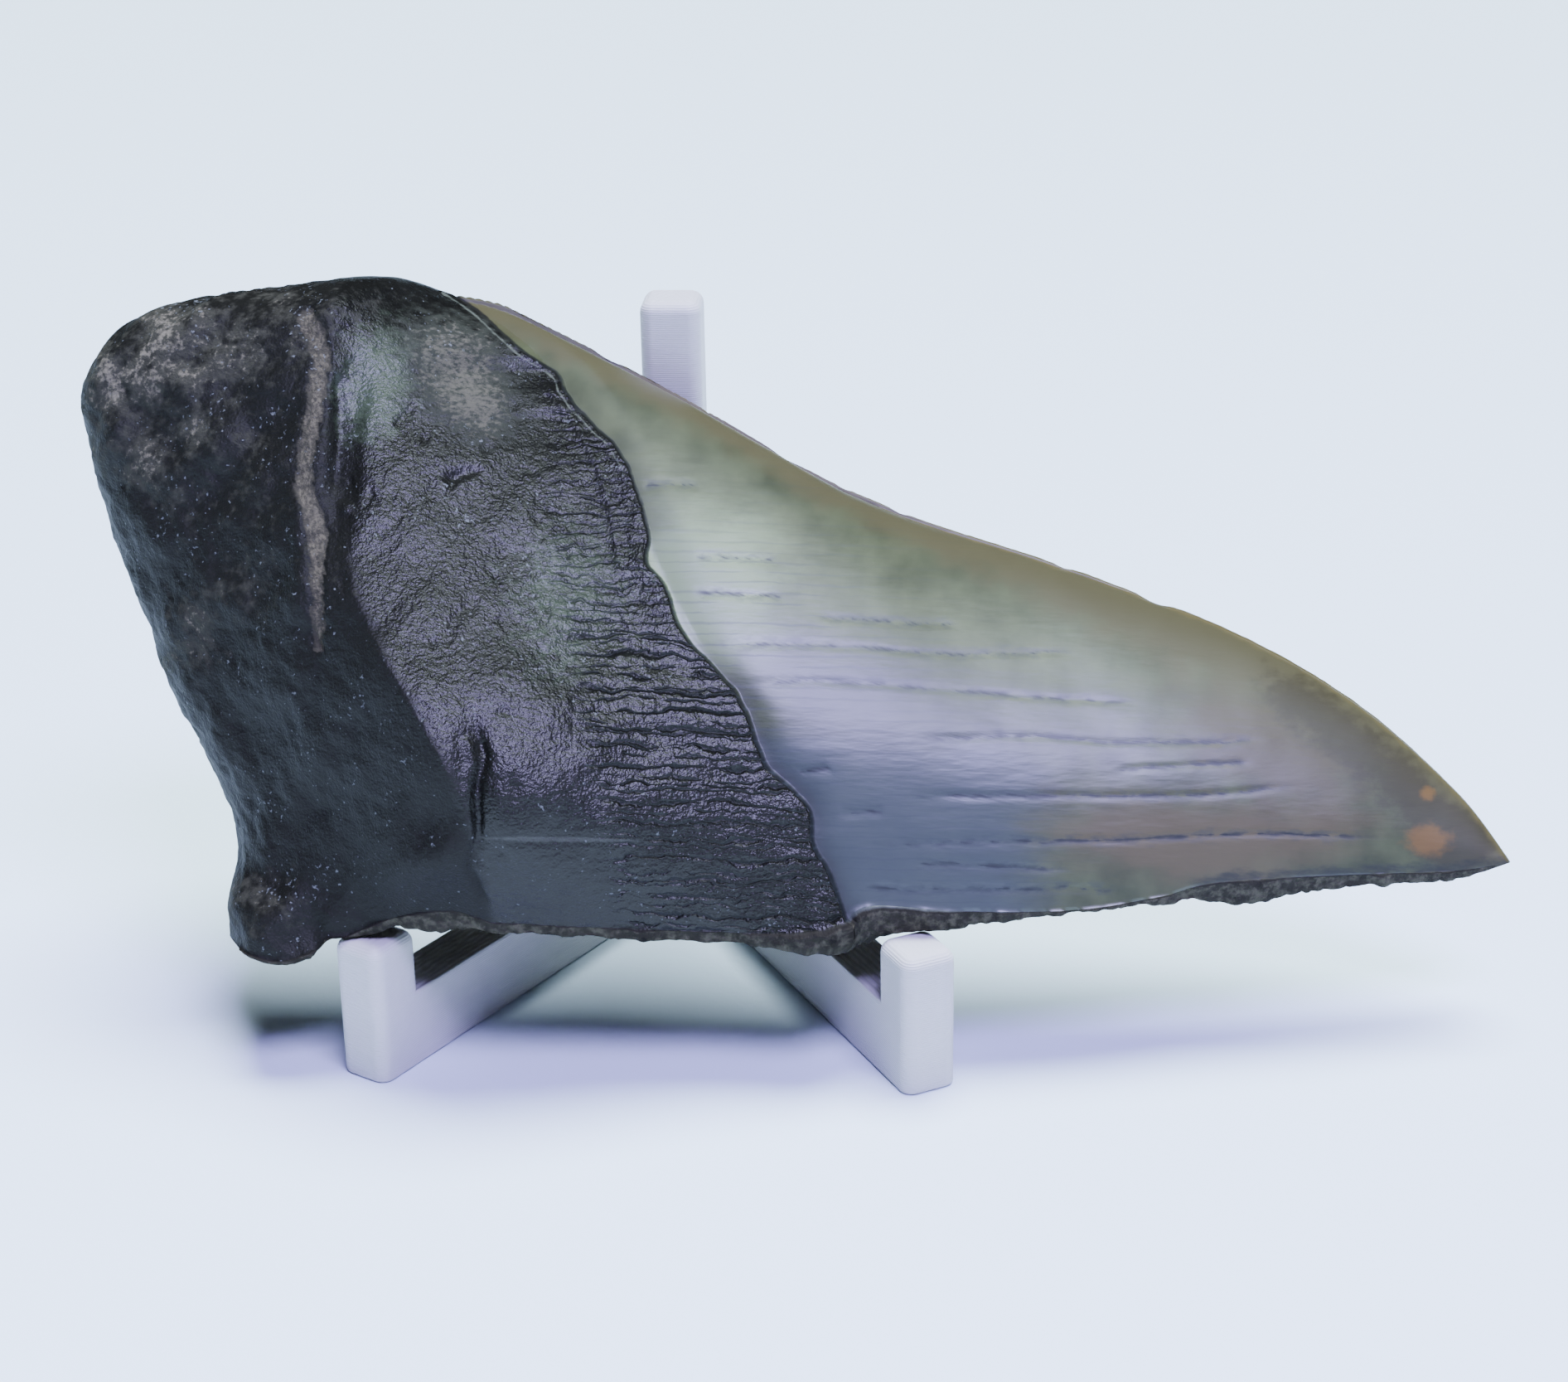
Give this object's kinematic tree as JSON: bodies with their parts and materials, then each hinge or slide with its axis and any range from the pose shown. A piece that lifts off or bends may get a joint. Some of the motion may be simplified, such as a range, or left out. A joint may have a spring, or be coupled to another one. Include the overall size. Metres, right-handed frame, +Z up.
{
  "type": "fossil megalodon tooth on a stand",
  "caption": "Half of a large fossil shark tooth with a dark root and a serrated crown, leaning on a small white V-shaped display stand.",
  "frame": {"origin": "middle of the underside of the whole object's box, on the surface that the stand stands on", "axes": "+X along the tooth from root to tip, +Y away from the viewer towards the tall rear post, +Z up"},
  "size_m": [0.1272, 0.0482, 0.0635],
  "materials": {
    "fossil": "satin fossil: black glossy pebbled root, blue-grey to olive polished enamel with dark cracks",
    "white_plastic": "printed white plastic, satin, with fine layer lines"
  },
  "bodies": {
    "root": {"tooth": "fossil", "stand": "white_plastic"}
  },
  "joints": []
}
